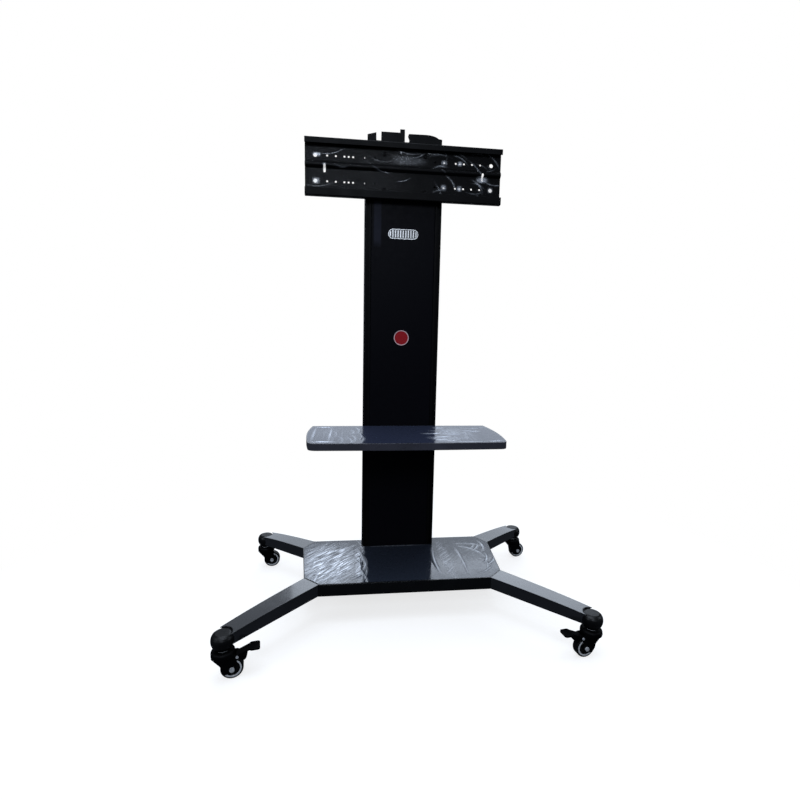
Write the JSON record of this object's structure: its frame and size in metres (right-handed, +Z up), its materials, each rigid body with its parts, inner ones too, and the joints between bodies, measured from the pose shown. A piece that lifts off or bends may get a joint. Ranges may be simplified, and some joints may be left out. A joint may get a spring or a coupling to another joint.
{
  "type": "mobile tv stand",
  "caption": "Rolling display stand: flat column on an eight-sided base with splayed braked-caster legs, a lipped shelf and a drilled wall plate on a sliding head.",
  "frame": {"origin": "on the floor, under the middle of the base between its casters", "axes": "+Z up, +X to the right of a viewer in front of the stand, -Y towards that viewer"},
  "size_m": [1.2125, 0.7491, 1.753],
  "materials": {
    "powder_black": "satin black powder coat",
    "gloss_black": "gloss black stove enamel",
    "moulded_black": "fine grained",
    "wheel_plastic": "smooth",
    "tread_rubber": "worn matt",
    "zinc": "bright zinc",
    "ring_chrome": "polished",
    "badge_silver": "polished rim, satin field",
    "badge_red": "glossy",
    "clear_film": "creased clear film"
  },
  "bodies": {
    "base": {"base_cover": "gloss_black", "base_film": "clear_film", "front_beam": "gloss_black", "rear_beam": "gloss_black", "side_beams": "gloss_black", "base_ribs": "powder_black", "leg_front_left": "gloss_black", "leg_front_right": "gloss_black", "leg_rear_left": "gloss_black", "leg_rear_right": "gloss_black", "leg_end_caps": "moulded_black", "caster_sockets": "zinc", "caster_stems": "zinc", "column_foot": "zinc", "foot_bolts": "zinc", "column_rail_left": "powder_black", "column_rail_right": "powder_black", "front_panel": "powder_black", "rear_panel": "powder_black", "column_ties": "zinc", "column_cap": "moulded_black", "panel_screws": "powder_black", "port_grommets": "moulded_black", "oval_plate": "badge_silver", "round_badge": "badge_red"},
    "head": {"head_plate": "powder_black", "head_bolts": "zinc", "plate_spacers": "powder_black", "wall_plate": "powder_black", "wall_plate_bolts": "zinc", "plate_film": "clear_film"},
    "shelf": {"shelf_tray": "gloss_black", "shelf_brackets": "powder_black", "shelf_bolts": "zinc", "shelf_film": "clear_film"},
    "fork_body_front_left": {"fork_front_left": "powder_black", "axle_front_left": "zinc", "brake_pin_left": "zinc"},
    "wheel_front_left": {"tread_front_left": "tread_rubber", "hub_front_left": "wheel_plastic", "rings_front_left": "ring_chrome"},
    "brake_left": {"brake_lever_left": "powder_black"},
    "fork_body_front_right": {"fork_front_right": "powder_black", "axle_front_right": "zinc", "brake_pin_right": "zinc"},
    "wheel_front_right": {"tread_front_right": "tread_rubber", "hub_front_right": "wheel_plastic", "rings_front_right": "ring_chrome"},
    "brake_right": {"brake_lever_right": "powder_black"},
    "fork_body_rear_left": {"fork_rear_left": "powder_black", "axle_rear_left": "zinc"},
    "wheel_rear_left": {"tread_rear_left": "tread_rubber", "hub_rear_left": "wheel_plastic", "rings_rear_left": "ring_chrome"},
    "fork_body_rear_right": {"fork_rear_right": "powder_black", "axle_rear_right": "zinc"},
    "wheel_rear_right": {"tread_rear_right": "tread_rubber", "hub_rear_right": "wheel_plastic", "rings_rear_right": "ring_chrome"}
  },
  "joints": [
    {"name": "head_height", "type": "slide", "parent": "base", "child": "head", "axis": [0, 0, 1], "range_m": [-0.42, 0.018]},
    {"name": "shelf_height", "type": "slide", "parent": "base", "child": "shelf", "axis": [0, 0, 1], "range_m": [-0.25, 0.25]},
    {"name": "swivel_front_left", "type": "hinge", "parent": "base", "child": "fork_body_front_left", "pos_m": [-0.56762, -0.33376, 0.09], "axis": [0, 0, 1], "continuous": true},
    {"name": "roll_front_left", "type": "hinge", "parent": "fork_body_front_left", "child": "wheel_front_left", "pos_m": [-0.54398, -0.3296, 0.0325], "axis": [-0.1736, 0.9848, 0], "continuous": true},
    {"name": "brake_press_left", "type": "hinge", "parent": "fork_body_front_left", "child": "brake_left", "pos_m": [-0.52872, -0.32691, 0.0685], "axis": [-0.1736, 0.9848, 0], "range_deg": [0, 10]},
    {"name": "swivel_front_right", "type": "hinge", "parent": "base", "child": "fork_body_front_right", "pos_m": [0.56762, -0.33376, 0.09], "axis": [0, 0, 1], "continuous": true},
    {"name": "roll_front_right", "type": "hinge", "parent": "fork_body_front_right", "child": "wheel_front_right", "pos_m": [0.54385, -0.3371, 0.0325], "axis": [0.1392, -0.9903, 0], "continuous": true},
    {"name": "brake_press_right", "type": "hinge", "parent": "fork_body_front_right", "child": "brake_right", "pos_m": [0.5285, -0.33926, 0.0685], "axis": [0.1392, -0.9903, 0], "range_deg": [0, 10]},
    {"name": "swivel_rear_left", "type": "hinge", "parent": "base", "child": "fork_body_rear_left", "pos_m": [-0.55315, 0.3473, 0.09], "axis": [0, 0, 1], "continuous": true},
    {"name": "roll_rear_left", "type": "hinge", "parent": "fork_body_rear_left", "child": "wheel_rear_left", "pos_m": [-0.52921, 0.34897, 0.0325], "axis": [-0.0698, 0.9976, 0], "continuous": true},
    {"name": "swivel_rear_right", "type": "hinge", "parent": "base", "child": "fork_body_rear_right", "pos_m": [0.55315, 0.3473, 0.09], "axis": [0, 0, 1], "continuous": true},
    {"name": "roll_rear_right", "type": "hinge", "parent": "fork_body_rear_right", "child": "wheel_rear_right", "pos_m": [0.57692, 0.35064, 0.0325], "axis": [-0.1392, 0.9903, 0], "continuous": true}
  ]
}
